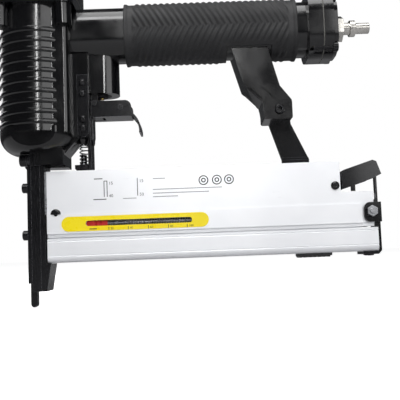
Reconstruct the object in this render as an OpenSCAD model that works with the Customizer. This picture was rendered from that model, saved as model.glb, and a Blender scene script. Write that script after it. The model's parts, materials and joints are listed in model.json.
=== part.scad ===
// Pneumatic brad nailer and stapler, two fastener kinds in one magazine.
// Origin: centre of the nail exit on the lower face of the nose.
// +Z runs up the drive axis, +X runs back along the magazine, -Y is the side with the window.

/* [Nose] */
// Half width of the driver guide and its cover
nose_half_w = 10; // [9.5:0.5:11]
// Height of the lower face of the neck, where the nose is bolted on
neck_z = 88.5; // [88:0.5:90]
// Half width of the slot that the driver blade runs in
channel_half_w = 3.1; // [3:0.1:3.4]

/* [Barrel] */
// Outer radius of the barrel
barrel_r = 27.5; // [27:0.5:28]
// Radius of the barrel bore
bore_r = 21; // [21:0.1:21.5]
// Height of the flange that the cap is bolted to
flange_z = 210; // [210:1:212]
// Radius of the cylinder bore
piston_bore_r = 15; // [14.5:0.5:15.5]
// Travel of the piston and the driver blade
stroke = 83; // [80:1:84]

/* [Handle] */
// Height of the middle of the handle
handle_z = 184; // [184:0.5:185]
// Width of the handle
handle_w = 34; // [32:1:35]
// Height of the handle
handle_h = 40; // [38:1:41]
// Rear end of the handle casting
handle_end_x = 206; // [204:1:207]

/* [Magazine] */
// Front end of the magazine
mag_front_x = 5.8; // [5.7:0.1:6]
// Rear end of the fixed magazine
fixed_rear_x = 236.5; // [236:0.5:237]
// Rear end of the movable magazine
rail_rear_x = 238.8; // [238:0.2:239]
// Upper edge of the fixed magazine
mag_top_z = 84; // [83.5:0.1:84]
// Lower face of the movable magazine
rail_bottom_z = 19.5; // [19:0.5:20]
// Half width of the fixed magazine above its raised band
mag_half_w = 10.8; // [10.6:0.1:10.9]
// Half width of the raised band
band_half_w = 11.5; // [11.4:0.1:11.6]

/* [Trigger and safety] */
// Height of the safety's contact tip below the nose
tip_drop = 11.3; // [10.5:0.1:12]
// Travel of the safety
safety_travel = 10; // [8:0.5:10]
// Half width of the trigger
trigger_half_w = 9; // [8.5:0.5:9]

/* [Hidden] */
$fn = 72;
eps = 0.02;

// Nose and its screws
guide_front_x = -5.3;
channel_half_x = 0.9;
guide_top_z = 102.4;
cover_front_x = -8.1;
m4_rows = [73.2, 39.6];
m4_y = 6.4;
m5_z = 92.9;
m5_y = 7.5;

// Barrel, sleeve and cap
chin_z = 97;
chin_round = 14;
chin_r = barrel_r + 1;
chin_flat_y = 24;
rear_flat_y = 23.3;
bumper_z = 104.2;
bumper_r = 17.2;
sleeve_z = 115.9;
sleeve_top_z = flange_z + 3;
sleeve_wall = 3.4;
piston_z = sleeve_z + 0.1 + stroke;
piston_h = 12;
flange_half = 29.5;
cap_screw_xy = 22;
cap_z = flange_z + 0.8;
cap_top_z = flange_z + 22.5;
valve_z = sleeve_top_z + 0.2;
rib_pitch = 7.25;
rib_first_z = 117.4;
rib_outline = [[-1, -2.2], [0.2, -1.9], [1, -1.1], [1.2, 0], [1, 1.1], [0.2, 1.9], [-1, 2.2]];

// Trigger, lever and valve
pivot = [40.5, 132.6];
lever_axis = [59.4, 129.2];
stem_x = 45.2;
boss_bottom_z = 139.5;
valve_bore_r = 7.2;

// Safety
arm_x = 35.2;
arm_t = 2.2;
arm_top_z = 143;
safety_spring_x = 31;
foot_z = 84.2;
link_y = 16.5;
link_end_x = 31;
crossbar_top_z = 24.4;

// Side plates
plate_x0 = 29.4;
plate_x1 = 37.5;
plate_y = 13.5;
rivet_zs = [113.3, 119.9, 138.2, 146];

// Magazine
wall_in = 9.6;
recess_half_w = 9.9;
band_z0 = 39.7;
band_z1 = 53.3;
rail_top_z = 36.3;
rail_half_w = 11.2;
core_half_w = 1.75;
line_zs = [24.2, 34.4];
window_x0 = 33;
window_x1 = 107.7;
window_z0 = 44.4;
window_z1 = 48.3;
rod_y = -7.2;
rod_z = 46.4;
notch_x = 213.8;
notch_z = 62;
latch_axis = [234.4, 47.6];
strap_y = 10.95;
strap_t = 2.4;
strap_screw_at = [172.8, 122.5];
strap_low_x = 186.4;
strap_low_zs = [78, 68];

// Air inlet
plug_tip_r = 3.95;
plug_end_x = 243.6;

module box(x0, x1, y0, y1, z0, z1) {
  translate([x0, y0, z0]) cube([x1 - x0, y1 - y0, z1 - z0]);
}
module sym_box(x0, x1, half_y, z0, z1) {
  box(x0, x1, -half_y, half_y, z0, z1);
}
module x_cyl(x0, x1, r, y, z) {
  translate([x0, y, z]) rotate([0, 90, 0]) cylinder(r = r, h = x1 - x0);
}
module y_cyl(y0, y1, r, x, z) {
  translate([x, y0, z]) rotate([-90, 0, 0]) cylinder(r = r, h = y1 - y0);
}
module z_cyl(z0, z1, r, x = 0, y = 0) {
  translate([x, y, z0]) cylinder(r = r, h = z1 - z0);
}
// An outline in X and Z, given thickness along Y
module slab(points, y0, y1) {
  translate([0, y1, 0]) rotate([90, 0, 0]) linear_extrude(y1 - y0) polygon(points);
}
// A profile in Y and Z, given length along X
module along_x(x0, x1) {
  translate([x0, 0, 0]) rotate([90, 0, 90]) linear_extrude(x1 - x0) children();
}
module both_sides() {
  children();
  mirror([0, 1, 0]) children();
}
// Rounded rectangle around the origin, with true arcs
module rounded(w, h, r) {
  square([w - 2 * r, h], center = true);
  square([w, h - 2 * r], center = true);
  for (x = [-1, 1], y = [-1, 1]) translate([x * (w / 2 - r), y * (h / 2 - r)]) circle(r);
}
module ring(z0, z1, r_out, r_in) {
  difference() {
    z_cyl(z0, z1, r_out);
    z_cyl(z0 - eps, z1 + eps, r_in);
  }
}
// Coils of a spring as separate turns, from z0 to z1
module coils(z0, z1, r, wire_r, turns) {
  for (i = [0:turns - 1])
    translate([0, 0, z0 + wire_r + (z1 - z0 - 2 * wire_r) * i / (turns - 1)])
      rotate_extrude() translate([r, 0]) circle(wire_r, $fn = 20);
}
// Socket head screw: head above z = 0, shank below
module socket_screw(r, length, head_r, head_h) {
  difference() {
    union() {
      translate([0, 0, head_h - 0.5]) cylinder(r1 = head_r, r2 = head_r - 0.5, h = 0.5);
      cylinder(r = head_r, h = head_h - 0.5);
      translate([0, 0, -length]) cylinder(r = r, h = length);
    }
    translate([0, 0, head_h * 0.4]) cylinder(r = r * 0.88, h = head_h, $fn = 6);
  }
}
// Button head screw or rivet: low domed head above z = 0, shank below
module button(r, length, head_r, head_h, socket_r = 0) {
  difference() {
    union() {
      cylinder(r = head_r, h = head_h * 0.45);
      translate([0, 0, head_h * 0.45]) cylinder(r1 = head_r, r2 = head_r * 0.62, h = head_h * 0.55);
      translate([0, 0, -length]) cylinder(r = r, h = length);
    }
    if (socket_r > 0) translate([0, 0, head_h * 0.35]) cylinder(r = socket_r, h = head_h, $fn = 6);
  }
}
module facing_front(x, y, z) {
  translate([x, y, z]) rotate([0, -90, 0]) children();
}
module facing_rear(x, y, z) {
  translate([x, y, z]) rotate([0, 90, 0]) children();
}
module facing_near(x, y, z) {
  translate([x, y, z]) rotate([90, 0, 0]) children();
}
module facing_far(x, y, z) {
  translate([x, y, z]) rotate([-90, 0, 0]) children();
}

// ---- Housing ----
module chin() {
  difference() {
    rotate_extrude() intersection() {
      union() {
        translate([0, chin_z]) square([chin_r - chin_round, chin_round]);
        translate([chin_r - chin_round, chin_z + chin_round]) circle(chin_round);
        translate([0, chin_z + chin_round]) square([chin_r, 3.5]);
      }
      translate([0, chin_z]) square([chin_r, chin_round + 3.5]);
    }
    both_sides() box(-40, 40, chin_flat_y, 40, chin_z - 1, chin_z + chin_round + 4);
  }
}
module barrel_ribs() {
  for (i = [0:9])
    rotate_extrude() translate([barrel_r, rib_first_z + i * rib_pitch]) polygon(rib_outline);
}
// Block behind the barrel: the ribs end at its flat sides
module barrel_rear() {
  translate([12.6, 0, chin_z + 13]) linear_extrude(90) rounded(25.2, 2 * rear_flat_y, 3.6);
}
module strut() {
  slab([[140, 170], [148.4, 140.8], [160.7, 128.5], [162, 118], [182, 118],
    [182, 129.5], [174, 139.9], [166, 170]], -12.5, 12.5);
  translate([0, 14, 0]) rotate([90, 0, 0]) linear_extrude(28)
    translate([171.8, 122.4]) rounded(20.4, 13.8, 1.5);
}
module flange_profile() {
  rounded(2 * flange_half, 2 * flange_half, 7.5);
}
module housing_outside() {
  z_cyl(chin_z + chin_round, flange_z, barrel_r);
  chin();
  barrel_ribs();
  barrel_rear();
  translate([0, 0, flange_z - 9]) linear_extrude(9) flange_profile();
  for (x = [-1, 1], y = [-1, 1]) z_cyl(flange_z - 24, flange_z, 6, x * cap_screw_xy, y * cap_screw_xy);
  // Neck, rear web and gusset
  sym_box(3.4, 18.8, 16, neck_z, 108);
  sym_box(15, 37.3, plate_y, 107.4, 168);
  slab([[18, 95], [29, 107.5], [18, 107.5]], -11, 11);
  translate([safety_spring_x, 0, 104.2]) cylinder(r1 = 3.6, r2 = 6, h = 3.3);
  // Trigger valve boss and trigger lugs
  sym_box(37, 48, 10.5, boss_bottom_z, 168);
  z_cyl(boss_bottom_z, 168, 10.5, 47.8, 0);
  both_sides() {
    box(37.8, 43.2, 4.5, 7.2, pivot[1], 141);
    y_cyl(4.5, 7.2, 2.7, pivot[0], pivot[1]);
  }
  // Handle, rear collar and strut
  translate([0, 0, handle_z]) along_x(15, handle_end_x) rounded(handle_w, handle_h, 16);
  translate([0, 0, handle_z]) along_x(handle_end_x - 10, handle_end_x) rounded(42, 48, 17);
  strut();
}
module housing() {
  color("#191a1c") difference() {
    housing_outside();
    z_cyl(sleeve_z - 0.05, flange_z + 1, bore_r);
    z_cyl(bumper_z - 0.1, sleeve_z, bumper_r + 0.3);
    // Pocket for the top of the driver guide, and the blade's way through
    sym_box(-5.6, 3.4, 12.2, neck_z - 1, guide_top_z + 0.2);
    sym_box(-1.3, 1.3, 3.5, guide_top_z, bumper_z + 1);
    for (y = [-m5_y, m5_y]) {
      x_cyl(3, 15.2, 2.55, y, m5_z);
      x_cyl(-40, guide_front_x, 4.8, y, m5_z);
    }
    // Air chamber in the handle, and the valve bore
    translate([0, 0, handle_z]) along_x(17, handle_end_x + 1) rounded(24, 30, 11);
    z_cyl(boss_bottom_z - 1, 160, valve_bore_r, stem_x, 0);
    z_cyl(159, 172, 4, stem_x, 0);
    y_cyl(-10, 10, 1.45, pivot[0], pivot[1]);
    // Guide slot for the safety arm
    sym_box(34.9, 37.8, 8.5, 100, 154.5);
    z_cyl(100, 109, 2.6, safety_spring_x, 0);
    for (z = rivet_zs) both_sides() y_cyl(9.4, 14, 1.55, 33.3, z);
    // Strut: slots on both faces, strap slot and screw
    both_sides() for (shift = [0, 9])
      slab([[150 + shift, 139], [158.5 + shift, 130.5], [161.5 + shift, 130.5], [153 + shift, 139]],
        -12.6, -11.3);
    box(161, 190, strap_y - 0.05, 20, 110, 130);
    y_cyl(-15, 15, 2.05, strap_screw_at[0], strap_screw_at[1]);
    y_cyl(-15, -12, 3.8, strap_screw_at[0], strap_screw_at[1]);
    // Screw holes of the cap and of the handle's end cap
    for (x = [-1, 1], y = [-1, 1])
      z_cyl(flange_z - 20, flange_z + 1, 2.55, x * cap_screw_xy, y * cap_screw_xy);
    for (y = [-15, 15], z = [-18, 18])
      x_cyl(handle_end_x - 9.5, handle_end_x + 1, 2.05, y, handle_z + z);
  }
}
module cap() {
  color("#1d1e20") difference() {
    union() {
      translate([0, 0, cap_z]) linear_extrude(cap_top_z - 3 - cap_z) flange_profile();
      translate([0, 0, cap_top_z - 3]) linear_extrude(3) rounded(2 * flange_half - 4, 2 * flange_half - 4, 6);
    }
    difference() {
      z_cyl(cap_z - 1, cap_top_z - 5, bore_r + 0.2);
      ring(valve_z + 10.4, cap_top_z - 4, 12, 9);
      z_cyl(valve_z + 9, cap_top_z - 4, 4.5);
    }
    for (a = [0:60:300]) rotate([0, 0, a]) z_cyl(cap_top_z - 6, cap_top_z + 1, 1.7, 6.8, 0);
    z_cyl(valve_z + 10, cap_top_z + 1, 2.05);
    for (x = [-1, 1], y = [-1, 1]) {
      z_cyl(cap_z - 1, cap_top_z + 1, 2.7, x * cap_screw_xy, y * cap_screw_xy);
      z_cyl(cap_top_z - 7, cap_top_z + 1, 4.7, x * cap_screw_xy, y * cap_screw_xy);
    }
  }
}
module cap_gasket() {
  color("#3a3a3a") difference() {
    translate([0, 0, flange_z + 0.05]) linear_extrude(cap_z - flange_z - 0.1) flange_profile();
    z_cyl(flange_z - 1, cap_z + 1, bore_r + 0.2);
    for (x = [-1, 1], y = [-1, 1]) z_cyl(flange_z - 1, cap_z + 1, 2.8, x * cap_screw_xy, y * cap_screw_xy);
  }
}
module cap_screws() {
  color("#26272a") for (x = [-1, 1], y = [-1, 1])
    translate([x * cap_screw_xy, y * cap_screw_xy, cap_top_z - 6.95]) socket_screw(2.5, 34, 4.25, 5);
}
module exhaust_deflector() {
  deflector_z = cap_top_z + 0.3;
  color("#202124") difference() {
    union() {
      z_cyl(deflector_z, deflector_z + 6.5, 19);
      translate([0, 0, deflector_z + 6.5]) cylinder(r1 = 19, r2 = 17.4, h = 1.6);
    }
    difference() {
      z_cyl(deflector_z - 1, deflector_z + 5.6, 16.8);
      z_cyl(deflector_z, deflector_z + 7, 6.5);
    }
    sym_box(-25, -12, 9, deflector_z + 1.2, deflector_z + 5.2);
    z_cyl(deflector_z - 1, deflector_z + 9, 2.65);
    z_cyl(deflector_z + 5, deflector_z + 9, 5.2);
  }
}
module deflector_screw() {
  color("#2a2b2e") translate([0, 0, cap_top_z + 5.35]) {
    socket_screw(2.55, 5.3, 4.6, 3);
    translate([0, 0, -12.5]) cylinder(r = 2, h = 8);
  }
}
module rubber_grip() {
  color("#2b2c2e") difference() {
    translate([0, 0, handle_z]) along_x(64, 188) rounded(handle_w + 5, handle_h + 5, 18.4);
    translate([0, 0, handle_z]) along_x(63, 189) rounded(handle_w + 0.1, handle_h + 0.1, 16.05);
    sym_box(137.5, 169.5, 15, handle_z - 30, handle_z - 15);
  }
}
module handle_end_cap() {
  color("#1d1e20") difference() {
    union() {
      translate([0, 0, handle_z]) along_x(handle_end_x + 0.8, handle_end_x + 8) rounded(42, 48, 17);
      translate([0, 0, handle_z]) along_x(handle_end_x + 8, handle_end_x + 11) rounded(38, 44, 15);
    }
    x_cyl(handle_end_x, handle_end_x + 12, 6.6, 0, handle_z);
    for (y = [-15, 15], z = [-18, 18]) {
      x_cyl(handle_end_x, handle_end_x + 12, 2.15, y, handle_z + z);
      x_cyl(handle_end_x + 7, handle_end_x + 12, 3.9, y, handle_z + z);
    }
  }
}
module end_cap_gasket() {
  color("#3a3a3a") difference() {
    translate([0, 0, handle_z]) along_x(handle_end_x + 0.05, handle_end_x + 0.75) rounded(42, 48, 17);
    translate([0, 0, handle_z]) along_x(handle_end_x, handle_end_x + 1) rounded(24, 30, 11);
    for (y = [-15, 15], z = [-18, 18]) x_cyl(handle_end_x - 1, handle_end_x + 2, 2.2, y, handle_z + z);
  }
}
module end_cap_screws() {
  color("#26272a") for (y = [-15, 15], z = [-18, 18])
    facing_rear(handle_end_x + 7.05, y, handle_z + z) socket_screw(2, 14, 3.5, 3.6);
}
module air_plug() {
  plug_x = handle_end_x + 11.05;
  color("#b9bbbd") difference() {
    union() {
      x_cyl(plug_x - 9, plug_x, 6.55, 0, handle_z);
      translate([plug_x, 0, handle_z]) rotate([0, 90, 0]) cylinder(r = 9.8, h = 6.5, $fn = 6);
      x_cyl(plug_x + 6.5, plug_x + 12, 4.4, 0, handle_z);
      x_cyl(plug_x + 12, plug_x + 16, 5.95, 0, handle_z);
      x_cyl(plug_x + 16, plug_end_x, plug_tip_r, 0, handle_z);
    }
    x_cyl(plug_x - 10, plug_end_x + 1, 2.4, 0, handle_z);
  }
}

// ---- Drive ----
module cylinder_sleeve() {
  color("#c3c6c9") difference() {
    union() {
      z_cyl(sleeve_z, sleeve_top_z, piston_bore_r + sleeve_wall);
      z_cyl(sleeve_top_z - 5, sleeve_top_z, bore_r - 0.1);
      z_cyl(150, 154, bore_r - 0.1);
    }
    z_cyl(sleeve_z - 1, sleeve_top_z + 1, piston_bore_r);
    for (a = [0:45:315]) rotate([0, 0, a]) {
      z_cyl(sleeve_top_z - 6, sleeve_top_z + 1, 1.6, bore_r - 0.1, 0);
      x_cyl(piston_bore_r - 1, piston_bore_r + 5, 1.2, 0, 128);
    }
  }
}
module sleeve_orings() {
  color("#1a1a1a") for (z = [119, 148.6])
    translate([0, 0, z]) rotate_extrude()
      translate([(piston_bore_r + sleeve_wall + bore_r) / 2, 0]) circle(1.25, $fn = 24);
}
module bumper() {
  color("#3c3f44") difference() {
    z_cyl(bumper_z, sleeve_z - 0.1, bumper_r);
    z_cyl(bumper_z - 1, sleeve_z + 1, 6.5);
    translate([0, 0, bumper_z + 5.8]) rotate_extrude() translate([bumper_r, 0]) circle(1.6, $fn = 32);
  }
}
module piston() {
  color("#aab0b4") difference() {
    z_cyl(piston_z, piston_z + piston_h, piston_bore_r - 0.07);
    ring(piston_z + 4.4, piston_z + 7, piston_bore_r + 1, piston_bore_r - 2.2);
    z_cyl(piston_z + 8, piston_z + piston_h + 1, 9);
    sym_box(-0.65, 0.65, 2.9, piston_z - 1, piston_z + 4);
    x_cyl(-20, 20, 1.25, 0, piston_z + 2.2);
  }
}
module piston_ring() {
  color("#1a1a1a") translate([0, 0, piston_z + 5.7]) rotate_extrude()
    translate([piston_bore_r - 1.1, 0]) circle(1.05, $fn = 24);
}
module driver_blade() {
  color("#8d9296") difference() {
    sym_box(-0.6, 0.6, 2.85, mag_top_z + 0.5, piston_z + 3.9);
    x_cyl(-5, 5, 1.25, 0, piston_z + 2.2);
  }
}
module blade_pin() {
  color("#777b80") x_cyl(-13, 13, 1.2, 0, piston_z + 2.2);
}
module head_valve() {
  color("#d8d4c8") difference() {
    z_cyl(valve_z, valve_z + 6.3, bore_r - 0.2);
    z_cyl(valve_z - 1, valve_z + 8, 7.6);
    ring(valve_z + 3.2, valve_z + 8, 17.4, 12.6);
    ring(valve_z - 1, valve_z + 1.5, 18.2, 14.8);
  }
}
module head_valve_seal() {
  color("#2d2d2d") ring(valve_z - 0.1, valve_z + 1.4, 18.1, 14.9);
}
module head_valve_spring() {
  color("#c9ccce") coils(valve_z + 3.3, cap_top_z - 5.1, 15, 0.7, 5);
}

// ---- Trigger group ----
module trigger() {
  x0 = 38.2;
  x1 = 66.9;
  z0 = 122.5;
  z1 = 134.2;
  tail_r = 17.9;
  color("#55585c") difference() {
    union() {
      difference() {
        union() {
          slab([[x0, z0], [x1, z0], [x1, z1 - 4.5], [x1 - 4.5, z1 - 4.5], [x1 - 4.5, z1], [x0, z1]],
            -trigger_half_w, trigger_half_w);
          y_cyl(-trigger_half_w, trigger_half_w, 4.5, x1 - 4.5, z1 - 4.5);
        }
        sym_box(x0 - 1, x1 + 1, trigger_half_w - 1.5, z0 + 1.5, z1 + 1);
      }
      // Curved tail for the fingertip
      translate([55.8, trigger_half_w, 111.5]) rotate([90, 0, 0]) linear_extrude(2 * trigger_half_w)
        intersection() {
          difference() {
            circle(tail_r);
            circle(tail_r - 1.5);
          }
          polygon([[0, 0], [40, -2.8], [40, 30], [22.5, 33.6]]);
        }
    }
    sym_box(x0 - 1, 47.5, 4.5, z0 - 1, z0 + 2);
    y_cyl(-12, 12, 1.45, pivot[0], pivot[1]);
    y_cyl(-12, 12, 1.35, lever_axis[0], lever_axis[1]);
  }
}
// A short pin in each lug, so that the safety lifter can pass between them
module trigger_pin() {
  color("#2a2b2e") both_sides() {
    y_cyl(4.6, 9.1, 1.4, pivot[0], pivot[1]);
    y_cyl(9.1, 9.7, 2, pivot[0], pivot[1]);
  }
}
module trigger_lever() {
  color("#8a8d90") difference() {
    union() {
      sym_box(43, lever_axis[0], 4, lever_axis[1] - 1, lever_axis[1] + 1);
      y_cyl(-7.2, 7.2, 2.5, lever_axis[0], lever_axis[1]);
    }
    y_cyl(-8, 8, 1.36, lever_axis[0], lever_axis[1]);
  }
}
module lever_pin() {
  color("#2a2b2e") {
    y_cyl(-9.05, 9.05, 1.3, lever_axis[0], lever_axis[1]);
    both_sides() y_cyl(9.05, 9.5, 1.9, lever_axis[0], lever_axis[1]);
  }
}
module valve_body() {
  color("#6d6a5c") difference() {
    union() {
      z_cyl(138, boss_bottom_z, 4.5, stem_x);
      z_cyl(boss_bottom_z, 158, valve_bore_r - 0.08, stem_x);
    }
    z_cyl(137, 147, 1.78, stem_x);
    z_cyl(146.6, 159, 4.5, stem_x);
  }
}
module valve_stem() {
  color("#c8b46a") {
    z_cyl(136.8, 147, 1.7, stem_x);
    z_cyl(146.7, 149.4, 4.2, stem_x);
  }
}
module valve_spring() {
  color("#c9ccce") translate([stem_x, 0, 0]) coils(149.5, 159.9, 3.2, 0.45, 5);
}

// ---- Safety ----
module contact_foot() {
  tip_r = 2.35;
  color("#2b2c2f") {
    box(-8.4, -3.7, -3, 3, -tip_drop + tip_r, 5.5);
    y_cyl(-3, 3, tip_r, -6.05, -tip_drop + tip_r);
    box(-5.1, -3.7, -3, 3, 5.4, crossbar_top_z);
    box(-5.1, -3.7, 2.9, link_y, 20, crossbar_top_z);
  }
}
module safety_link() {
  color("#2b2c2f")
    slab([[-6, 20], [2, 20], [2, 78], [link_end_x, 78], [link_end_x, 86.4], [-6, 86.4]],
      link_y + 0.02, link_y + 2);
}
module safety_arm() {
  color("#303236") {
    slab([[25.7, foot_z + 4.3], [25.7, foot_z + 1.5], [27.2, foot_z], [37.4, foot_z], [37.4, foot_z + 4.3]],
      -8, 8);
    box(25.7, link_end_x, 7.9, link_y, foot_z, foot_z + 2);
    sym_box(arm_x, arm_x + arm_t, 8, foot_z, 104.8);
    difference() {
      sym_box(arm_x, arm_x + arm_t, 8, 104.7, arm_top_z);
      for (z = [107, 113]) x_cyl(arm_x - 1, arm_x + 4, 1.45, 0, z);
    }
    z_cyl(foot_z + 4.2, foot_z + 12.2, 2.1, safety_spring_x);
  }
}
module safety_lifter() {
  lift_x = arm_x + arm_t + 0.05;
  color("#303236") difference() {
    union() {
      sym_box(lift_x, 38.8, 4.2, 107.5, 124.1);
      x_cyl(lift_x, 38.8, 4.2, 0, 107.5);
      sym_box(lift_x, 45.5, 3.8, 122.6, 124.1);
    }
    for (z = [107, 113]) x_cyl(arm_x, 39, 1.45, 0, z);
  }
}
module lifter_rivets() {
  color("#3b3d41") for (z = [107, 113]) facing_rear(38.82, 0, z) button(1.4, 3.62, 1.9, 0.3);
}
module safety_spring() {
  color("#c9ccce") translate([safety_spring_x, 0, 0]) coils(foot_z + 4.35, 104.1, 2.85, 0.45, 6);
}
module side_plates() {
  mid_x = (plate_x0 + plate_x1) / 2;
  color("#33353a") both_sides() difference() {
    union() {
      box(plate_x0, plate_x1, plate_y + 0.02, plate_y + 2, 111.4, 152);
      y_cyl(plate_y + 0.02, plate_y + 2, (plate_x1 - plate_x0) / 2, mid_x, 111.4);
    }
    for (z = rivet_zs) y_cyl(plate_y - 1, plate_y + 3, 1.55, 33.3, z);
  }
}
module side_rivets() {
  color("#4a4d52") for (z = rivet_zs) {
    facing_near(33.3, -plate_y - 2.05, z) button(1.5, 6, 2.4, 1.5);
    facing_far(33.3, plate_y + 2.05, z) button(1.5, 6, 2.4, 1.5);
  }
}

// ---- Nose ----
module nose_holes(x0, x1, r) {
  for (z = m4_rows, y = [-m4_y, m4_y]) x_cyl(x0, x1, r, y, z);
}
module driver_guide() {
  color("#3a3c40") difference() {
    union() {
      sym_box(guide_front_x, channel_half_x, nose_half_w, 0, neck_z + 0.2);
      sym_box(guide_front_x, 3.3, 12, neck_z + 0.2, guide_top_z);
    }
    sym_box(-channel_half_x, channel_half_x + 0.1, channel_half_w, -1, neck_z + 1);
    sym_box(-channel_half_x, channel_half_x, channel_half_w, -1, guide_top_z + 1);
    // Slots for the safety's contact foot and its crossbar
    sym_box(guide_front_x - 1, -3.4, 3.3, -1, crossbar_top_z + safety_travel + 1.6);
    box(guide_front_x - 1, -3.4, 3, nose_half_w + 1, 19.6, crossbar_top_z + safety_travel + 0.6);
    nose_holes(guide_front_x - 1, 2, 2.05);
    for (y = [-m5_y, m5_y]) x_cyl(guide_front_x - 1, 4, 2.6, y, m5_z);
  }
}
module guide_back() {
  color("#45484c") difference() {
    slab([[channel_half_x + 0.1, 0], [4.9, 0], [7.9, 19.2], [4.2, 19.2], [4.2, neck_z - 0.1],
      [channel_half_x + 0.1, neck_z - 0.1]], -nose_half_w, nose_half_w);
    sym_box(0, 9, channel_half_w + 0.4, 21, 82);
    nose_holes(0, 9, 2.05);
  }
}
module nose_cover() {
  color("#24262a") difference() {
    sym_box(cover_front_x, guide_front_x - 0.05, nose_half_w, 5.7, neck_z + 0.1);
    sym_box(cover_front_x - 1, guide_front_x + 1, 3.3, 4, 6 + safety_travel);
    nose_holes(cover_front_x - 1, guide_front_x + 1, 2.05);
  }
}
module nose_screws() {
  color("#222327") {
    for (y = [-m4_y, m4_y]) {
      facing_front(cover_front_x - 0.05, y, m4_rows[0]) socket_screw(2, 22, 3.5, 4);
      facing_front(cover_front_x - 0.05, y, m4_rows[1]) socket_screw(2, 12.2, 3.5, 4);
    }
    for (y = [-m5_y, m5_y]) {
      facing_front(-8.25, y, m5_z) socket_screw(2.5, 23, 4.25, 5);
      for (x = [-8.2, -6.75]) difference() {
        x_cyl(x, x + 1.35, 4.2, y, m5_z);
        x_cyl(x - 1, x + 3, 2.7, y, m5_z);
      }
    }
  }
}
module spacer_plate() {
  color("#c6c9cc") difference() {
    sym_box(4.3, 5.7, nose_half_w + 0.4, 53.5, mag_top_z);
    sym_box(4, 6, channel_half_w + 0.6, 50, 82);
    nose_holes(4, 6, 2.05);
  }
}

// ---- Magazine ----
module fixed_profile() {
  difference() {
    union() {
      translate([-mag_half_w, band_z0]) square([2 * mag_half_w, mag_top_z - band_z0]);
      translate([-recess_half_w, 37.2]) square([2 * recess_half_w, 10]);
      translate([-band_half_w, band_z0]) square([2 * band_half_w, band_z1 - band_z0]);
    }
    translate([-wall_in, band_z0 + 0.2]) square([2 * wall_in, mag_top_z - 2.2 - band_z0 - 0.2]);
    translate([-8, 30]) square([16, 10]);
  }
}
module fixed_magazine() {
  color("#dfe1e3") difference() {
    along_x(mag_front_x, fixed_rear_x) fixed_profile();
    // Window, rounded at its ends
    box(window_x0 + 1.5, window_x1 - 1.5, -13, -9, window_z0, window_z1);
    for (x = [window_x0 + 1.95, window_x1 - 1.95]) y_cyl(-13, -9, 1.95, x, (window_z0 + window_z1) / 2);
    // Rear notch for the latch, end of the band and slots for the latch bolt
    sym_box(notch_x, fixed_rear_x + 1, 13, notch_z, mag_top_z + 1);
    both_sides() box(228, fixed_rear_x + 1, mag_half_w, 13, band_z0 - 1, band_z1 + 1);
    sym_box(231.5, fixed_rear_x + 1, 13, 45.2, 50);
    both_sides() y_cyl(9, 13, 1.55, 12, 53.6);
    both_sides() y_cyl(9, 13, 1.55, 210, 66.7);
    for (z = strap_low_zs) y_cyl(9, 13, 2.05, strap_low_x, z);
  }
}
module front_block() {
  color("#9a9da0") difference() {
    sym_box(mag_front_x + 0.1, 20, wall_in - 0.1, 49.8, mag_top_z - 2.3);
    sym_box(5, 21, channel_half_w + 0.7, 40, 79.8);
    nose_holes(5, 15, 2.05);
    both_sides() y_cyl(5, 11, 1.55, 12, 53.6);
  }
}
module guide_blocks() {
  color("#9a9da0") {
    both_sides() difference() {
      box(205, 213.5, 4, wall_in - 0.1, 62, 71.5);
      y_cyl(5, 11, 1.55, 210, 66.7);
    }
    difference() {
      box(177, 192, 4, wall_in - 0.1, 62, 81.5);
      for (z = strap_low_zs) y_cyl(3, 11, 2.05, strap_low_x, z);
    }
  }
}
module magazine_screws() {
  color("#1f2023") both_sides() {
    facing_far(210, mag_half_w + 0.05, 66.7) button(1.5, 5.5, 3, 1.6, 1.1);
    intersection() {
      facing_far(12, mag_half_w + 0.05, 53.6) button(1.5, 5.5, 3.6, 1.4);
      union() {
        box(5, 20, 0, 20, band_z1 + 0.1, 60);
        box(5, 20, 0, mag_half_w, 40, 60);
      }
    }
  }
}
module window_label() {
  mid_z = 46.2;
  color("#f2c313") difference() {
    union() {
      box(21.2, 114.3, -11.8, -11.52, mid_z - 5.2, mid_z + 5.2);
      for (x = [21.2, 114.3]) y_cyl(-11.8, -11.52, 5.2, x, mid_z);
    }
    box(window_x0 + 1.5, window_x1 - 1.5, -13, -11, window_z0, window_z1);
    for (x = [window_x0 + 1.95, window_x1 - 1.95]) y_cyl(-13, -11, 1.95, x, (window_z0 + window_z1) / 2);
  }
}
module rail_profile(core_top) {
  difference() {
    union() {
      translate([-rail_half_w, rail_bottom_z + 4]) square([2 * rail_half_w, rail_top_z - rail_bottom_z - 4]);
      translate([-rail_half_w + 4, rail_bottom_z]) square([2 * rail_half_w - 8, 5]);
      for (y = [-1, 1]) translate([y * (rail_half_w - 4), rail_bottom_z + 4]) circle(4);
    }
    translate([-6.2, rail_bottom_z + 3]) square([12.4, 20]);
    for (side = [-1, 1], z = line_zs) translate([side * rail_half_w, z]) circle(0.45, $fn = 24);
  }
  translate([-core_half_w, rail_bottom_z + 2]) square([2 * core_half_w, core_top - rail_bottom_z - 2]);
}
module guide_wall_profile() {
  for (side = [-1, 1]) scale([side, 1]) {
    translate([6.2, rail_top_z - 1]) square([1.5, 44 - rail_top_z + 1]);
    translate([7.6, band_z0 + 0.5]) square([1.7, 1.8]);
  }
}
module movable_magazine() {
  color("#d5d8da") difference() {
    union() {
      along_x(mag_front_x, rail_rear_x) rail_profile(rail_top_z);
      along_x(mag_front_x, 213) rail_profile(77);
      along_x(mag_front_x, 227) guide_wall_profile();
      along_x(212, 227) translate([-core_half_w, 30]) square([2 * core_half_w, 20]);
      // Posts that hold the pusher rod
      for (x = [14, 221]) box(x, x + 3.5, -9.1, -6.3, 43, 49);
    }
    x_cyl(10, 230, 0.95, rod_y, rod_z);
    for (y = [-4, 4]) z_cyl(rail_bottom_z - 1, rail_bottom_z + 4, 1.55, 234, y);
  }
}
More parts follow.
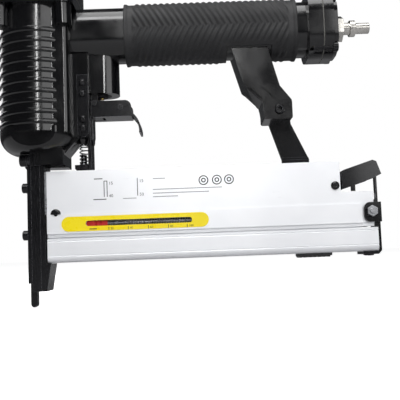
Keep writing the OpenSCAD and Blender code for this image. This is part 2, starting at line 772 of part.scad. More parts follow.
module pusher() {
  color("#8f9396") difference() {
    sym_box(8, 34, 3.4, 40.5, 79.3);
    sym_box(7, 35, core_half_w + 0.2, 39, 77.6);
    box(21, 35, -4, 4, 52, 74);
  }
}
module pusher_flag() {
  color("#c8261c") difference() {
    union() {
      box(24, 48, -5.4, -3.42, 43.3, 48.5);
      box(33, 48, -9.2, -3.42, window_z0, 48.5);
    }
    x_cyl(20, 50, 1, rod_y, rod_z);
  }
}
module pusher_rod() {
  color("#b0b3b6") x_cyl(13.5, 225, 0.9, rod_y, rod_z);
}
module pusher_spring() {
  color("#c9ccce") translate([0, rod_y, rod_z]) rotate([0, 90, 0]) coils(48.1, 220.9, 1.6, 0.3, 49);
}
module finger_pad() {
  color("#1e1f22") {
    sym_box(182.2, 206.3, 7, 17.6, rail_bottom_z - 0.02);
    for (i = [0:6]) sym_box(182.8 + i * 3.35, 184.8 + i * 3.35, 7, 16.6, 17.7);
  }
}
module end_plate() {
  ear_r = 4.5;
  plate_end_x = rail_rear_x + 2.5;
  color("#2a2c30") difference() {
    union() {
      slab([[228, 17.3], [239, 17.3], [plate_end_x, 19.8], [plate_end_x, 46], [plate_end_x - 2.2, 46],
        [plate_end_x - 2.2, rail_bottom_z - 0.05], [228, rail_bottom_z - 0.05]], -9, 9);
      sym_box(plate_end_x - 2.2, plate_end_x, 13, 40, 46);
      both_sides() {
        box(229 + ear_r, plate_end_x, 11.1, 13, 40, 54);
        box(229, plate_end_x, 11.1, 13, 40 + ear_r, 54 - ear_r);
        for (z = [40 + ear_r, 54 - ear_r]) y_cyl(11.1, 13, ear_r, 229 + ear_r, z);
      }
    }
    y_cyl(-14, 14, 2.05, latch_axis[0], latch_axis[1]);
    for (y = [-4, 4]) z_cyl(16, 20, 1.55, 234, y);
  }
}
module end_plate_rivets() {
  color("#3a3c40") for (y = [-4, 4]) translate([234, y, 17.27]) rotate([180, 0, 0]) button(1.5, 4.9, 2.8, 1);
}
module latch() {
  outline = [[214.9, 74.8], [216.9, 77.8], [237.6, 84.3], [240.4, 83.2], [243.5, 74], [236.8, 70.8],
    [215.3, 64.2]];
  hollow = [[216.8, 55], [216.8, 75.7], [237.2, 82.1], [239, 81.4], [241.5, 73.6], [243, 60]];
  color("#3d4046") {
    difference() {
      slab(outline, -10.6, 10.6);
      slab(hollow, -8.8, 8.8);
    }
    box(221.4, 224.4, -10.6, -8.8, 62.4, 67.5);
    // Arm on the near side, and its eye round the bolt
    box(238.9, 240.3, -8.8, -4.5, 50.5, 76);
    difference() {
      union() {
        y_cyl(-8.8, -7, 4.1, latch_axis[0], latch_axis[1]);
        slab([[231, 50.3], [238.9, 57], [240.3, 57], [240.3, 50.5], [237, 47.6]], -8.8, -7);
      }
      y_cyl(-10, -6, 2.05, latch_axis[0], latch_axis[1]);
    }
  }
}
module latch_bolt() {
  color("#b7babd") facing_far(latch_axis[0], 13.05, latch_axis[1]) {
    cylinder(r = 4, h = 2.8, $fn = 6);
    translate([0, 0, -30.6]) cylinder(r = 2, h = 30.7);
  }
}
module latch_nut() {
  color("#c4c7ca") difference() {
    translate([latch_axis[0], -13.05, latch_axis[1]]) rotate([90, 30, 0]) cylinder(r = 4, h = 3.2, $fn = 6);
    y_cyl(-20, -10, 2.02, latch_axis[0], latch_axis[1]);
  }
}
module latch_spring() {
  color("#c9ccce") facing_far(latch_axis[0], 0, latch_axis[1]) coils(-5, 5, 2.9, 0.45, 9);
}

// ---- Bracket ----
module bracket_strap() {
  color("#25272b") difference() {
    union() {
      slab([[167.6, 129.3], [183.3, 129.3], [184.2, 116.4], [196.6, 89.2], [196.6, 62], [176.3, 62],
        [176.3, 89.2], [167.6, 116.4]], strap_y, strap_y + strap_t);
      // Crease above the magazine
      slab([[176.3, 89.2], [175.7, 91], [195.8, 91], [196.6, 89.2]], strap_y - 0.6, strap_y + 0.1);
    }
    y_cyl(9, 15, 2.05, strap_screw_at[0], strap_screw_at[1]);
    for (z = strap_low_zs) y_cyl(9, 15, 2.05, strap_low_x, z);
  }
}
module strap_screws() {
  color("#222327") {
    facing_near(strap_screw_at[0], -12.05, strap_screw_at[1]) socket_screw(2, 29, 3.4, 3.8);
    difference() {
      translate([strap_screw_at[0], strap_y + strap_t + 0.05, strap_screw_at[1]]) rotate([-90, 0, 0])
        cylinder(r = 4, h = 2.8, $fn = 6);
      y_cyl(10, 18, 2.02, strap_screw_at[0], strap_screw_at[1]);
    }
    for (z = strap_low_zs) facing_far(strap_low_x, 13.45, z) button(2, 9, 3.6, 2, 1.3);
  }
}

housing();
cap();
cap_gasket();
cap_screws();
exhaust_deflector();
deflector_screw();
rubber_grip();
handle_end_cap();
end_cap_gasket();
end_cap_screws();
air_plug();
cylinder_sleeve();
sleeve_orings();
bumper();
piston();
piston_ring();
driver_blade();
blade_pin();
head_valve();
head_valve_seal();
head_valve_spring();
trigger();
trigger_pin();
trigger_lever();
lever_pin();
valve_body();
valve_stem();
valve_spring();
contact_foot();
safety_link();
safety_arm();
safety_lifter();
lifter_rivets();
safety_spring();
side_plates();
side_rivets();
driver_guide();
guide_back();
nose_cover();
nose_screws();
spacer_plate();
fixed_magazine();
front_block();
guide_blocks();
magazine_screws();
window_label();
movable_magazine();
pusher();
pusher_flag();
pusher_rod();
pusher_spring();
finger_pad();
end_plate();
end_plate_rivets();
latch();
latch_bolt();
latch_nut();
latch_spring();
bracket_strap();
strap_screws();
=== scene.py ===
import json
import math

import bmesh
import bpy
from mathutils import Matrix, Vector


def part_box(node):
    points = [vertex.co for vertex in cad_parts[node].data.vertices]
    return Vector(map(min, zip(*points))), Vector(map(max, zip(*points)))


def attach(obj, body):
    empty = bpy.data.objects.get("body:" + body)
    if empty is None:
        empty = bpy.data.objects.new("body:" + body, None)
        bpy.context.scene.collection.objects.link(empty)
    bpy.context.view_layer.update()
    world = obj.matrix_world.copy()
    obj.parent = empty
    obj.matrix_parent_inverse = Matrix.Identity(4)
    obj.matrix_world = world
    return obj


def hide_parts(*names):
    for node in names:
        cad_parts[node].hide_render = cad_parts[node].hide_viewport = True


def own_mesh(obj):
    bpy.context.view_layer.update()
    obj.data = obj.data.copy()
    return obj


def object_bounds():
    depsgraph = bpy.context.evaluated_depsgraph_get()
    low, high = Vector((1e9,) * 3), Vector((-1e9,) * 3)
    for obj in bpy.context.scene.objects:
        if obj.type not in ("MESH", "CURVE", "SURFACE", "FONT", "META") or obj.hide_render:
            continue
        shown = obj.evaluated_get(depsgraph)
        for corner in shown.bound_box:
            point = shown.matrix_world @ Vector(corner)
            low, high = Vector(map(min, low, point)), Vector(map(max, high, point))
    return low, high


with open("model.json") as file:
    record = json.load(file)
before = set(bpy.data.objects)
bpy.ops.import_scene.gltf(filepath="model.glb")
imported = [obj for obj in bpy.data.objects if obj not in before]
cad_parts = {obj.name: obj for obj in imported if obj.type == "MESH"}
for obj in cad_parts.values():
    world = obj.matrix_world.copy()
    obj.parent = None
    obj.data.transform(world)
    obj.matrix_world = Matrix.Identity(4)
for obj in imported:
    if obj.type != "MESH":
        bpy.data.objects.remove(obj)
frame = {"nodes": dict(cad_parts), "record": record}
cad_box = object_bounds()
MM = 0.001
FULL_TURN = 2 * math.pi
SLOTS = {part["node"]: part["material_slot"] for part in frame["record"]["subparts"]}
BODY = {
    node: body
    for body, nodes in frame["record"]["behaviour"]["bodies"].items()
    for node in nodes
}


def box_mm(node):
    """A CAD node's lowest and highest corners at rest, in millimetres."""
    return tuple(Vector([round(value / MM, 2) for value in corner]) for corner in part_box(node))


# ---------------------------------------------------------------- materials
class Shader:
    """One procedural material: a principled shader with helpers that add nodes in front of it."""

    def __init__(self, name, roughness=0.5, metallic=0.0, coat=0.0, specular=0.5):
        self.material = bpy.data.materials.new(name)
        self.material.use_nodes = True
        self.tree = self.material.node_tree
        self.surface = self.tree.nodes["Principled BSDF"]
        self.set("Roughness", roughness)
        self.set("Metallic", metallic)
        self.set("Specular IOR Level", specular)
        if coat:
            self.set("Coat Weight", coat)
            self.set("Coat Roughness", 0.08)
        place = self.tree.nodes.new("ShaderNodeTexCoord")
        self.place = place.outputs["Object"]

    def set(self, socket, value):
        self.surface.inputs[socket].default_value = value

    def link(self, output, socket):
        self.tree.links.new(output, self.surface.inputs[socket] if isinstance(socket, str) else socket)

    def noise(self, scale, detail=3.0, stretch=(1, 1, 1)):
        """Noise in the object's own space; stretch above 1 makes it finer along that axis."""
        mapping = self.tree.nodes.new("ShaderNodeMapping")
        mapping.inputs["Scale"].default_value = stretch
        self.link(self.place, mapping.inputs["Vector"])
        node = self.tree.nodes.new("ShaderNodeTexNoise")
        node.inputs["Scale"].default_value = scale
        node.inputs["Detail"].default_value = detail
        node.inputs["Roughness"].default_value = 0.55
        self.link(mapping.outputs["Vector"], node.inputs["Vector"])
        return node.outputs["Fac"]

    def between(self, fac, low, high, start=0.3, end=0.7):
        """Maps fac from start..end to low..high, smoothly."""
        node = self.tree.nodes.new("ShaderNodeMapRange")
        node.interpolation_type = "SMOOTHSTEP"
        node.inputs["From Min"].default_value = start
        node.inputs["From Max"].default_value = end
        node.inputs["To Min"].default_value = low
        node.inputs["To Max"].default_value = high
        self.link(fac, node.inputs["Value"])
        return node.outputs["Result"]

    def mix(self, fac, first, second):
        """Colour between first and second; each is a colour or another node's output."""
        node = self.tree.nodes.new("ShaderNodeMix")
        node.data_type = "RGBA"
        for socket, value in ((node.inputs[6], first), (node.inputs[7], second)):
            if isinstance(value, tuple):
                socket.default_value = (*value, 1)
            else:
                self.link(value, socket)
        self.link(fac, node.inputs["Factor"])
        return node.outputs[2]

    def combine(self, first, second, operation="MULTIPLY"):
        """One Math node; each input is a float or another node's output."""
        node = self.tree.nodes.new("ShaderNodeMath")
        node.operation = operation
        for socket, value in zip(node.inputs, (first, second)):
            if isinstance(value, float):
                socket.default_value = value
            else:
                self.link(value, socket)
        return node.outputs[0]

    def edges(self, radius_mm, start=0.004, end=0.05):
        """0 on flat areas and 1 along sharp edges, from how far rounding them would turn the surface."""
        bevel = self.tree.nodes.new("ShaderNodeBevel")
        bevel.samples = 4
        bevel.inputs["Radius"].default_value = radius_mm * MM
        normal = self.tree.nodes.new("ShaderNodeNewGeometry")
        dot = self.tree.nodes.new("ShaderNodeVectorMath")
        dot.operation = "DOT_PRODUCT"
        self.link(bevel.outputs["Normal"], dot.inputs[0])
        self.link(normal.outputs["Normal"], dot.inputs[1])
        turned = self.combine(1.0, dot.outputs["Value"], "SUBTRACT")
        return self.between(turned, 0.0, 1.0, start, end)

    def bump(self, height, depth_mm, strength=1.0):
        node = self.tree.nodes.new("ShaderNodeBump")
        node.inputs["Strength"].default_value = strength
        node.inputs["Distance"].default_value = depth_mm * MM
        self.link(height, node.inputs["Height"])
        # A second bump adds to the first
        last = self.surface.inputs["Normal"]
        if last.links:
            self.link(last.links[0].from_socket, node.inputs["Normal"])
        self.link(node.outputs["Normal"], "Normal")


def gloss_black_cast():
    """Gloss paint on a casting: slight orange peel, smears, and thin wear on the edges."""
    s = Shader("gloss_black_cast", coat=0.3)
    colour = (0.0016, 0.0016, 0.0020)
    smear = s.noise(55, 5)
    s.link(s.between(smear, 0.13, 0.24), "Roughness")
    lighter_edges = s.combine(s.edges(0.5), s.between(s.noise(900, 4), 0.0, 0.35, 0.55, 0.78))
    paint = s.mix(s.between(s.noise(25, 2), 0.0, 1.0), colour, tuple(c * 1.6 for c in colour))
    s.link(s.mix(lighter_edges, paint, (0.06, 0.06, 0.065)), "Base Color")
    s.bump(s.noise(420, 2), 0.035, 0.35)
    return s.material


def rolled_black(name, colour, roughness, coat=0.0, streaks=(1, 1, 1)):
    """Black steel, blackened or painted: fine grain along its rolling direction, and lighter grey edges
    that are partly rubbed wear and partly a painted highlight.
    """
    s = Shader(name, metallic=0.2, coat=coat)
    grain = s.noise(2400, 3, streaks)
    s.link(s.between(grain, roughness - 0.07, roughness + 0.10), "Roughness")
    # Painted highlight: a lighter grey on every sharp edge, patchy from the noise. It is partly rubbed wear
    # and partly stands in for the bright lines that light draws along the edges.
    lighter_edges = s.combine(s.edges(0.3), s.between(s.noise(1100, 4), 0.15, 0.8, 0.40, 0.66))
    base = s.mix(s.between(s.noise(60, 4), 0.0, 1.0), colour, tuple(c * 1.5 for c in colour))
    s.link(s.mix(lighter_edges, base, (0.24, 0.24, 0.26)), "Base Color")
    s.bump(grain, 0.004, 0.4)
    return s.material


def bright_metal(name, colour, roughness, dark=0.8):
    """Bare or plated metal: a fine grain, with slightly dull patches."""
    s = Shader(name, metallic=1.0)
    grain = s.noise(900, 3)
    patches = s.noise(70, 4)
    dulled = s.combine(grain, patches)
    s.link(s.between(dulled, roughness - 0.06, roughness + 0.14, 0.1, 0.45), "Roughness")
    shades = s.mix(s.between(patches, 0.0, 1.0), colour, tuple(c * dark for c in colour))
    s.link(shades, "Base Color")
    s.bump(grain, 0.006, 0.5)
    return s.material


def anodised_aluminium():
    """Clear-anodised extrusion: satin, with faint die lines along its length and tiny scuffs."""
    s = Shader("anodised_aluminium", metallic=0.35, specular=0.6)
    die_lines = s.noise(190, 3, (0.004, 6, 6))
    speck = s.noise(2600, 2)
    s.link(s.between(die_lines, 0.33, 0.40), "Roughness")
    cloud = s.mix(s.between(s.noise(18, 3), 0.0, 1.0), (0.93, 0.94, 0.96), (0.87, 0.88, 0.905))
    scuff = s.between(s.noise(240, 6, (0.25, 1, 1)), 0.0, 0.35, 0.66, 0.78)
    s.link(s.mix(scuff, cloud, (0.72, 0.72, 0.74)), "Base Color")
    s.bump(die_lines, 0.004, 0.25)
    s.bump(speck, 0.004, 0.4)
    return s.material


def moulded(name, colour, roughness, grain_mm=0.5, depth_mm=0.03, coat=0.0, rubbed=None):
    """Moulded plastic or rubber with a fine surface grain and lighter, rubbed edges."""
    s = Shader(name, coat=coat, specular=0.4)
    grain = s.noise(1 / (grain_mm * MM), 2)
    s.link(s.between(s.noise(90, 4), roughness - 0.07, roughness + 0.09), "Roughness")
    base = s.mix(s.between(grain, 0.0, 1.0), colour, tuple(c * 1.25 + 0.004 for c in colour))
    edge = s.combine(s.edges(0.4), s.between(s.noise(500, 3), 0.1, 0.6))
    s.link(s.mix(edge, base, rubbed or tuple(c * 1.6 + 0.03 for c in colour)), "Base Color")
    s.bump(grain, depth_mm, 0.6)
    return s.material


def label_yellow():
    """A printed film: nearly even yellow under a thin clear layer."""
    s = Shader("yellow_label", coat=0.5, specular=0.5)
    s.link(s.between(s.noise(120, 4), 0.24, 0.38), "Roughness")
    tint = s.mix(s.between(s.noise(40, 3), 0.0, 1.0), (0.92, 0.75, 0.004), (0.88, 0.69, 0.003))
    s.link(tint, "Base Color")
    s.bump(s.noise(1500, 2), 0.004, 0.5)
    return s.material


def print_ink(name, colour):
    """Screen-printed ink, slightly uneven."""
    s = Shader(name, specular=0.3)
    s.link(s.between(s.noise(800, 2), 0.45, 0.62), "Roughness")
    thin = tuple(c * 1.5 + 0.015 for c in colour)
    s.link(s.mix(s.between(s.noise(1500, 3), 0.0, 1.0), colour, thin), "Base Color")
    return s.material


def floor_white():
    """Plain white to the camera; the object sees it as mid grey, so its underside stays dark."""
    s = Shader("floor_white", specular=0.0)
    s.link(s.between(s.noise(4, 3), 0.55, 0.65), "Roughness")
    shades = s.mix(s.between(s.noise(3, 3), 0.0, 1.0), (0.93, 0.93, 0.93), (0.915, 0.915, 0.915))
    s.link(shades, "Base Color")
    s.set("Emission Color", (1, 1, 1, 1))
    s.set("Emission Strength", 0.90)
    grey = s.tree.nodes.new("ShaderNodeBsdfDiffuse")
    grey.inputs["Color"].default_value = (0.42, 0.42, 0.43, 1)
    ray = s.tree.nodes.new("ShaderNodeLightPath")
    choose = s.tree.nodes.new("ShaderNodeMixShader")
    s.link(ray.outputs["Is Camera Ray"], choose.inputs["Fac"])
    s.link(grey.outputs["BSDF"], choose.inputs[1])
    s.link(s.surface.outputs["BSDF"], choose.inputs[2])
    s.link(choose.outputs["Shader"], s.tree.nodes["Material Output"].inputs["Surface"])
    return s.material


MATERIALS = {
    "gloss_black_cast": gloss_black_cast(),
    "gasket": moulded("gasket", (0.10, 0.098, 0.09), 0.75, 0.8, 0.05),
    "black_oxide": rolled_black("black_oxide", (0.004, 0.004, 0.005), 0.20),
    "black_plastic": moulded("black_plastic", (0.012, 0.012, 0.013), 0.46),
    "grip_rubber": moulded("grip_rubber", (0.014, 0.014, 0.015), 0.62, 0.7, 0.05),
    "seal_rubber": moulded("seal_rubber", (0.010, 0.010, 0.010), 0.40, 0.9, 0.02),
    "bumper_rubber": moulded("bumper_rubber", (0.035, 0.04, 0.055), 0.55, 0.9, 0.03),
    "nickel_steel": bright_metal("nickel_steel", (0.70, 0.68, 0.64), 0.20),
    "zinc_steel": bright_metal("zinc_steel", (0.46, 0.47, 0.49), 0.28),
    "bore_aluminium": bright_metal("bore_aluminium", (0.62, 0.63, 0.65), 0.34),
    "tool_steel": bright_metal("tool_steel", (0.30, 0.31, 0.33), 0.32),
    "white_plastic": moulded("white_plastic", (0.78, 0.76, 0.70), 0.42, 0.8, 0.01),
    "spring_steel": bright_metal("spring_steel", (0.52, 0.53, 0.55), 0.24, dark=0.6),
    "brass_stem": bright_metal("brass_stem", (0.60, 0.45, 0.18), 0.28),
    "black_steel_sheet": rolled_black("black_steel_sheet", (0.003, 0.003, 0.004), 0.17, coat=0.3),
    "blackened_steel": rolled_black("blackened_steel", (0.004, 0.004, 0.005), 0.22, streaks=(1, 1, 0.05)),
    "anodised_aluminium": anodised_aluminium(),
    "yellow_label": label_yellow(),
    "red_plastic": moulded("red_plastic", (0.50, 0.015, 0.012), 0.34, 0.9, 0.01, coat=0.4,
                           rubbed=(0.55, 0.03, 0.02)),
}
MATERIALS["floor_white"] = floor_white()
INK_DARK = print_ink("ink_dark", (0.012, 0.012, 0.014))
INK_GREY = print_ink("ink_grey", (0.20, 0.20, 0.21))


# ---------------------------------------------------------------- CAD nodes
def soften_edges(obj, width_mm):
    """Rounds the sharp edges of a CAD node with modifiers, so that they catch the light."""
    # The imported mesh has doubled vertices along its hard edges
    weld = obj.modifiers.new("weld", "WELD")
    weld.merge_threshold = 0.002 * MM
    flat = obj.modifiers.new("flat", "DECIMATE")
    flat.decimate_type = "DISSOLVE"
    flat.angle_limit = math.radians(0.4)
    bevel = obj.modifiers.new("bevel", "BEVEL")
    bevel.width = width_mm * MM
    bevel.segments = 2
    bevel.limit_method = "ANGLE"
    bevel.angle_limit = math.radians(32)
    bevel.use_clamp_overlap = True
    normals = obj.modifiers.new("normals", "WEIGHTED_NORMAL")
    normals.keep_sharp = False


USUAL_EDGE_MM = 0.25
# The width of the rounding where it isn't the usual one
EDGE_MM = {
    "housing": 0.9, "cap": 1.0, "handle_end_cap": 0.8, "exhaust_deflector": 0.7, "guide_back": 0.3,
    "driver_guide": 0.35, "nose_cover": 0.5, "trigger": 0.4, "latch": 0.5, "bracket_strap": 0.5,
    "fixed_magazine": 0.35, "movable_magazine": 0.3, "contact_foot": 0.4, "safety_arm": 0.4,
    "safety_link": 0.4, "end_plate": 0.4, "side_plates": 0.35, "finger_pad": 0.3, "air_plug": 0.4,
}
NO_SOFTENING = ("head_valve_spring", "valve_spring", "safety_spring", "pusher_spring", "latch_spring",
                "sleeve_orings", "piston_ring", "window_label", "rubber_grip")

for node, obj in frame["nodes"].items():
    obj.data.materials.clear()
    obj.data.materials.append(MATERIALS[SLOTS[node]])
    if node not in NO_SOFTENING:
        soften_edges(obj, EDGE_MM.get(node, USUAL_EDGE_MM))


# ---------------------------------------------------------------- detailed pieces
def add_piece(name, shape, slot, body, *replaced, material=None, smooth=True):
    """Turns a bmesh, in millimetres, into a piece that rides on a body and may stand for CAD nodes."""
    bmesh.ops.scale(shape, vec=(MM, MM, MM), verts=shape.verts)
    for face in shape.faces:
        face.smooth = smooth
    mesh = bpy.data.meshes.new(name)
    shape.to_mesh(mesh)
    shape.free()
    mesh.materials.append(material or MATERIALS[slot])
    obj = bpy.data.objects.new(name, mesh)
    bpy.context.scene.collection.objects.link(obj)
    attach(obj, body)
    if replaced:
        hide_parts(*replaced)
    return obj


def closed_tube(shape, rows):
    """Quads between rows of points that each form a ring, with a cap at both ends."""
    rings = [[shape.verts.new(point) for point in row] for row in rows]
    for first, second in zip(rings, rings[1:]):
        for i, a in enumerate(first):
            j = (i + 1) % len(first)
            shape.faces.new((a, first[j], second[j], second[i]))
    shape.faces.new(reversed(rings[0]))
    shape.faces.new(rings[-1])


def coil_spring(name, start, end, radius, wire, turns):
    """A helical spring from start to end with closed end coils; wire is the radius of its wire."""
    steps_per_turn, sides = 22, 8
    start, end = Vector(start), Vector(end)
    along = (end - start).normalized()
    side = along.orthogonal().normalized()
    other = along.cross(side)
    length = (end - start).length
    closed = 2.1 * wire
    pitch = (length - 2 * wire - 2 * closed) / (turns - 2)
    steps = steps_per_turn * turns
    centres = []
    for i in range(steps + 1):
        t = i * turns / steps
        if t < 1:
            height = closed * t
        elif t < turns - 1:
            height = closed + pitch * (t - 1)
        else:
            height = length - 2 * wire - closed * (turns - t)
        out = side * math.cos(FULL_TURN * t) + other * math.sin(FULL_TURN * t)
        centres.append((start + along * (wire + height) + out * radius, out))
    rows = []
    angles = [FULL_TURN * k / sides for k in range(sides)]
    for i, (centre, out) in enumerate(centres):
        ahead = centres[min(i + 1, steps)][0] - centres[max(i - 1, 0)][0]
        up = ahead.normalized().cross(out)
        rows.append([centre + (out * math.cos(a) + up * math.sin(a)) * wire for a in angles])
    shape = bmesh.new()
    closed_tube(shape, rows)
    bmesh.ops.recalc_face_normals(shape, faces=shape.faces)
    return add_piece(name, shape, "spring_steel", BODY[name], name)


def make_springs():
    """Each spring stands for its CAD node; all but the latch's get a mesh of their own."""
    spring = coil_spring("safety_spring", (31, 0, 88.55), (31, 0, 104.1), 2.85, 0.45, 7)
    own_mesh(spring)
    spring = coil_spring("valve_spring", (45.2, 0, 149.5), (45.2, 0, 159.9), 3.2, 0.45, 6)
    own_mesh(spring)
    spring = coil_spring("head_valve_spring", (0, 0, 216.5), (0, 0, 227.4), 15, 0.7, 5)
    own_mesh(spring)
    spring = coil_spring("pusher_spring", (48.1, -7.2, 46.4), (220.9, -7.2, 46.4), 1.75, 0.32, 96)
    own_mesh(spring)
    coil_spring("latch_spring", (234.4, -5, 47.6), (234.4, 5, 47.6), 2.9, 0.45, 9)


def rounded_ring(width, height, radius, count):
    """Points along a rounded rectangle in Y and Z from its top centre, each with its outward
    direction and its distance along the outline; and the outline's whole length."""
    half_w, half_h = width / 2 - radius, height / 2 - radius
    arc = math.pi * radius / 2
    # Straight stretches, each followed by a quarter arc, except the last
    straights = [half_w, 2 * half_h, 2 * half_w, 2 * half_h, half_w]
    total = sum(straights) + 4 * arc
    ring = []
    for i in range(count):
        left = run = total * i / count
        point, heading = Vector((0, height / 2)), Vector((1, 0))
        for straight in straights:
            used = min(left, straight)
            point = point + heading * used
            left -= used
            if left <= 0:
                break
            used = min(left, arc)
            centre = point + Vector((heading.y, -heading.x)) * radius
            swing = Matrix.Rotation(-used / radius, 2)
            point = centre + swing @ (point - centre)
            heading = swing @ heading
            left -= used
            if left <= 0:
                break
        ring.append((point, Vector((-heading.y, heading.x)), run))
    return ring, total


def clamp(value, low=0.0, high=1.0):
    return min(high, max(low, value))


def make_grip():
    """The rubber sleeve of the handle: chevron ribs on its flanks, plain at its ends and the strut."""
    low, high = box_mm("rubber_grip")
    middle_z = (low.z + high.z) / 2
    corner_radius = 18.4
    around, lengthwise = 184, 166
    sunk, end_bead, rib_height = 0.9, 0.75, 0.85
    bead_width, plain_end = 3.0, 6.0
    rib_pitch, rib_slant = 4.4, 0.55
    # The opening for the strut, underneath, and the plain zone round it
    strut_x, strut_half_x, strut_half_y = 153.5, 16, 15
    plain_half_x, plain_half_y = 19, 17
    ring, total = rounded_ring(high.y - low.y, high.z - low.z, corner_radius, around)
    rows = []
    for step in range(lengthwise + 1):
        x = low.x + (high.x - low.x) * step / lengthwise
        from_end = min(x - low.x, high.x - x)
        bead = end_bead * clamp(2 * (1 - from_end / bead_width))
        row = []
        for point, out, run in ring:
            flank = abs(math.sin(FULL_TURN * run / total)) ** 0.5
            wave = math.sin(FULL_TURN * (x + rib_slant * abs(point.y)) / rib_pitch)
            ribbed = clamp((from_end - plain_end) / 2) * clamp(flank * 4 - 1.6)
            if point.y < 0:
                past_plain = max(abs(x - strut_x) - plain_half_x, abs(point.x) - plain_half_y)
                ribbed *= clamp(past_plain / 2)
            rib = rib_height * ribbed * (0.5 + 0.5 * clamp(2.2 * wave, -1.0))
            place = point + out * (bead + rib - sunk)
            row.append(Vector((x, place.x, middle_z + place.y)))
        rows.append(row)
    shape = bmesh.new()
    rings = [[shape.verts.new(point) for point in row] for row in rows]
    for first, second in zip(rings, rings[1:]):
        for i in range(around):
            j = (i + 1) % around
            corners = (first[i], first[j], second[j], second[i])
            middle = sum((vert.co for vert in corners), Vector()) / 4
            at_strut = abs(middle.x - strut_x) < strut_half_x and abs(middle.y) < strut_half_y
            if not (at_strut and middle.z < middle_z):
                shape.faces.new(corners)
    loose = [vert for vert in shape.verts if not vert.link_faces]
    bmesh.ops.delete(shape, geom=loose, context="VERTS")
    bmesh.ops.recalc_face_normals(shape, faces=shape.faces)
    grip = add_piece("rubber_grip_sleeve", shape, "grip_rubber", BODY["rubber_grip"], "rubber_grip")
    wall = grip.modifiers.new("wall", "SOLIDIFY")
    wall.thickness = 1.45 * MM
    wall.offset = -1


def make_flag():
    """The red end of the pusher that shows in the window, with two finger grooves."""
    low, high = box_mm("pusher_flag")
    bottom_z, top_z = 44.45, 48.2
    shoulder_x, shoulder_y, groove_depth = 33, -5.4, 0.7
    outline = [(low.x, high.y), (low.x, shoulder_y), (shoulder_x, shoulder_y), (shoulder_x, low.y)]
    for groove_x in (38.9, 42.4):
        outline += [(groove_x, low.y), (groove_x + 0.3, low.y + groove_depth),
                    (groove_x + 1.0, low.y + groove_depth), (groove_x + 1.3, low.y)]
    outline += [(high.x, low.y), (high.x, high.y)]
    shape = bmesh.new()
    lower, upper = ([shape.verts.new((x, y, z)) for x, y in outline] for z in (bottom_z, top_z))
    shape.faces.new(lower)
    shape.faces.new(reversed(upper))
    for i in range(len(outline)):
        j = (i + 1) % len(outline)
        shape.faces.new((lower[i], upper[i], upper[j], lower[j]))
    bmesh.ops.recalc_face_normals(shape, faces=shape.faces)
    body = BODY["pusher_flag"]
    flag = add_piece("pusher_flag_grooved", shape, "red_plastic", body, "pusher_flag", smooth=False)
    round_off = flag.modifiers.new("round_off", "BEVEL")
    round_off.width = 0.25 * MM
    round_off.segments = 2


def add_bar(shape, x0, x1, z0, z1, y):
    corners = [shape.verts.new((x, y, z)) for x, z in ((x0, z0), (x1, z0), (x1, z1), (x0, z1))]
    shape.faces.new(corners)


def add_rule(shape, x0, x1, z, width, y):
    """A bar along X, centred on z."""
    add_bar(shape, x0, x1, z - width / 2, z + width / 2, y)


def add_stroke(shape, x, z0, z1, width, y):
    """A bar along Z, centred on x."""
    add_bar(shape, x - width / 2, x + width / 2, z0, z1, y)


def add_ring(shape, x, z, radius, width, y):
    sides = 40
    angles = [FULL_TURN * i / sides for i in range(sides)]
    inner, outer = (
        [shape.verts.new((x + r * math.cos(a), y, z + r * math.sin(a))) for a in angles]
        for r in (radius - width, radius)
    )
    for i in range(sides):
        j = (i + 1) % sides
        shape.faces.new((inner[i], outer[i], outer[j], inner[j]))


def add_number(shape, digits, x, z, height, y):
    """A plain number of the given height whose lower left corner is at x and z."""
    digit_share = 0.69  # of the font's size, a digit's height
    curve = bpy.data.curves.new("number", "FONT")
    curve.body = digits
    curve.size = height / digit_share
    curve.resolution_u = 3
    holder = bpy.data.objects.new("number", curve)
    mesh = bpy.data.meshes.new_from_object(holder)
    mesh.transform(Matrix.Translation((x, y, z)) @ Matrix.Rotation(math.pi / 2, 4, "X"))
    shape.from_mesh(mesh)
    bpy.data.objects.remove(holder)
    bpy.data.curves.remove(curve)
    bpy.data.meshes.remove(mesh)


INK_MM = 0.04  # how far printed marks stand off the surface below them
MAGAZINE_FACE_Y = -10.8


def make_window_scale():
    """Ticks with numbers from 20 to 100 under the window, and a bar under its red end."""
    y = box_mm("window_label")[0].y - INK_MM
    tick_z0, tick_z1, tick_width = 41.15, 43.5, 0.4
    digit_z, digit_height = 41.5, 1.5
    shape = bmesh.new()
    for i, x in enumerate((49.2, 62.8, 76.9, 91.0, 104.2)):
        add_stroke(shape, x, tick_z0, tick_z1, tick_width, y)
        add_number(shape, str(20 * (i + 1)), x + 1.2, digit_z, digit_height, y)
    add_rule(shape, 35.6, 40.8, 42.3, 0.6, y)
    body = BODY["window_label"]
    add_piece("window_scale", shape, "yellow_label", body, material=INK_DARK, smooth=False)


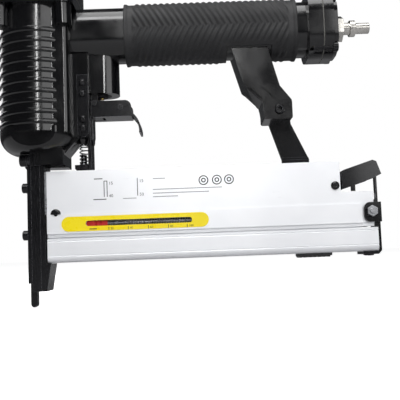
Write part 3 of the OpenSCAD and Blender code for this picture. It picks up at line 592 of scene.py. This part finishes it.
def make_magazine_marks():
    """Plain fastener diagrams, rules and rings on the magazine's side."""
    y = MAGAZINE_FACE_Y - INK_MM
    outline_width, digit_height = 0.52, 2.1
    dark, grey = bmesh.new(), bmesh.new()
    # A staple and a nail, with their shortest and longest sizes
    for x in (46.4, 48.5):
        add_stroke(dark, x, 64.6, 76.0, outline_width, y)
    add_bar(dark, 46.14, 48.76, 75.6, 76.1, y)
    add_stroke(dark, 70.0, 64.8, 77.3, outline_width, y)
    for size, x, z in (("15", 49.7, 73.2), ("40", 49.7, 64.3), ("15", 71.3, 74.2), ("50", 71.3, 64.6)):
        add_number(dark, size, x, z, digit_height, y)
    # Rules in place of lettering
    for x0, x1, z in ((39.4, 45.4, 77.6), (38.7, 47.9, 63.0)):
        add_rule(dark, x0, x1, z, 0.6, y)
    add_rule(grey, 59.5, 69.1, 63.05, 0.5, y)
    for x0, x1, z in ((81, 89.6, 76.4), (80.8, 129.7, 68.7), (80.8, 120.4, 66.0), (80.7, 98.4, 63.5)):
        add_rule(grey, x0, x1, z, 0.56, y)
    # Rings in place of the pictograms
    for x in (116.8, 126.3, 134.9):
        add_ring(dark, x, 74.0, 3.5, 0.75, y)
        add_ring(dark, x, 74.0, 1.7, 0.8, y)
    body = BODY["fixed_magazine"]
    slot = "anodised_aluminium"
    add_piece("magazine_marks_dark", dark, slot, body, material=INK_DARK, smooth=False)
    add_piece("magazine_marks_grey", grey, slot, body, material=INK_GREY, smooth=False)


make_springs()
make_grip()
make_flag()
make_window_scale()
make_magazine_marks()


# ---------------------------------------------------------------- scene
def make_stage():
    """A floor just under the object."""
    lowest = cad_box[0].z - 0.5 * MM
    mesh = bpy.data.meshes.new("floor")
    shape = bmesh.new()
    bmesh.ops.create_grid(shape, x_segments=2, y_segments=2, size=6.0)
    shape.to_mesh(mesh)
    shape.free()
    floor = bpy.data.objects.new("floor", mesh)
    floor.location = (0.1, 0.5, lowest)
    mesh.materials.append(MATERIALS["floor_white"])
    bpy.context.scene.collection.objects.link(floor)


def area_light(name, place, target, size, power, size_y=None):
    """A square light, or a rectangle if size_y is given, turned towards target."""
    data = bpy.data.lights.new(name, "AREA")
    data.energy = power
    data.size = size
    if size_y:
        data.shape = "RECTANGLE"
        data.size_y = size_y
    light = bpy.data.objects.new(name, data)
    light.location = place
    light.rotation_euler = (Vector(target) - Vector(place)).to_track_quat("-Z", "Y").to_euler()
    bpy.context.scene.collection.objects.link(light)


def make_light():
    """A white backdrop for the camera; the object itself sees a dim room, soft boxes and a grey floor."""
    world = bpy.data.worlds.new("studio")
    world.use_nodes = True
    tree = world.node_tree
    room = tree.nodes["Background"]
    room.inputs["Color"].default_value = (0.92, 0.95, 1.0, 1)
    room.inputs["Strength"].default_value = 0.06
    backdrop = tree.nodes.new("ShaderNodeBackground")
    backdrop.inputs["Color"].default_value = (1, 1, 1, 1)
    backdrop.inputs["Strength"].default_value = 1.0
    seen = tree.nodes.new("ShaderNodeLightPath")
    choose = tree.nodes.new("ShaderNodeMixShader")
    tree.links.new(seen.outputs["Is Camera Ray"], choose.inputs["Fac"])
    tree.links.new(room.outputs["Background"], choose.inputs[1])
    tree.links.new(backdrop.outputs["Background"], choose.inputs[2])
    tree.links.new(choose.outputs["Shader"], tree.nodes["World Output"].inputs["Surface"])
    bpy.context.scene.world = world
    middle = (0.1, 0.0, 0.1)
    # A narrow strip and a wide panel make the barrel's bright line and the grey band beside it
    area_light("strip", (0.11, -1.10, 0.62), middle, 0.07, 4.5, 0.8)
    area_light("panel", (1.60, -1.95, 0.75), middle, 1.9, 14, 1.0)
    area_light("top", (0.10, -0.30, 1.30), middle, 1.0, 10, 0.8)
    area_light("back", (-0.60, 0.80, 0.70), middle, 0.7, 3)
    area_light("front", (0.00, -0.90, 1.25), middle, 0.8, 8, 0.35)
    bpy.context.scene.view_settings.view_transform = "Standard"


def make_camera():
    """A low camera in front of the magazine's window, looking slightly up."""
    data = bpy.data.cameras.new("camera")
    data.sensor_width = 36
    data.lens = 57.4
    data.clip_start = 0.01
    camera = bpy.data.objects.new("camera", data)
    forward = Vector((0.0125, 0.9966, 0.0820)).normalized()
    roll = math.radians(-2.18)
    camera.rotation_mode = "QUATERNION"
    camera.rotation_quaternion = (
        forward.to_track_quat("-Z", "Y").to_matrix() @ Matrix.Rotation(roll, 3, "Z")
    ).to_quaternion()
    camera.location = (0.1082, -0.460, 0.0230)
    bpy.context.scene.collection.objects.link(camera)
    bpy.context.scene.camera = camera


make_stage()
make_light()
make_camera()
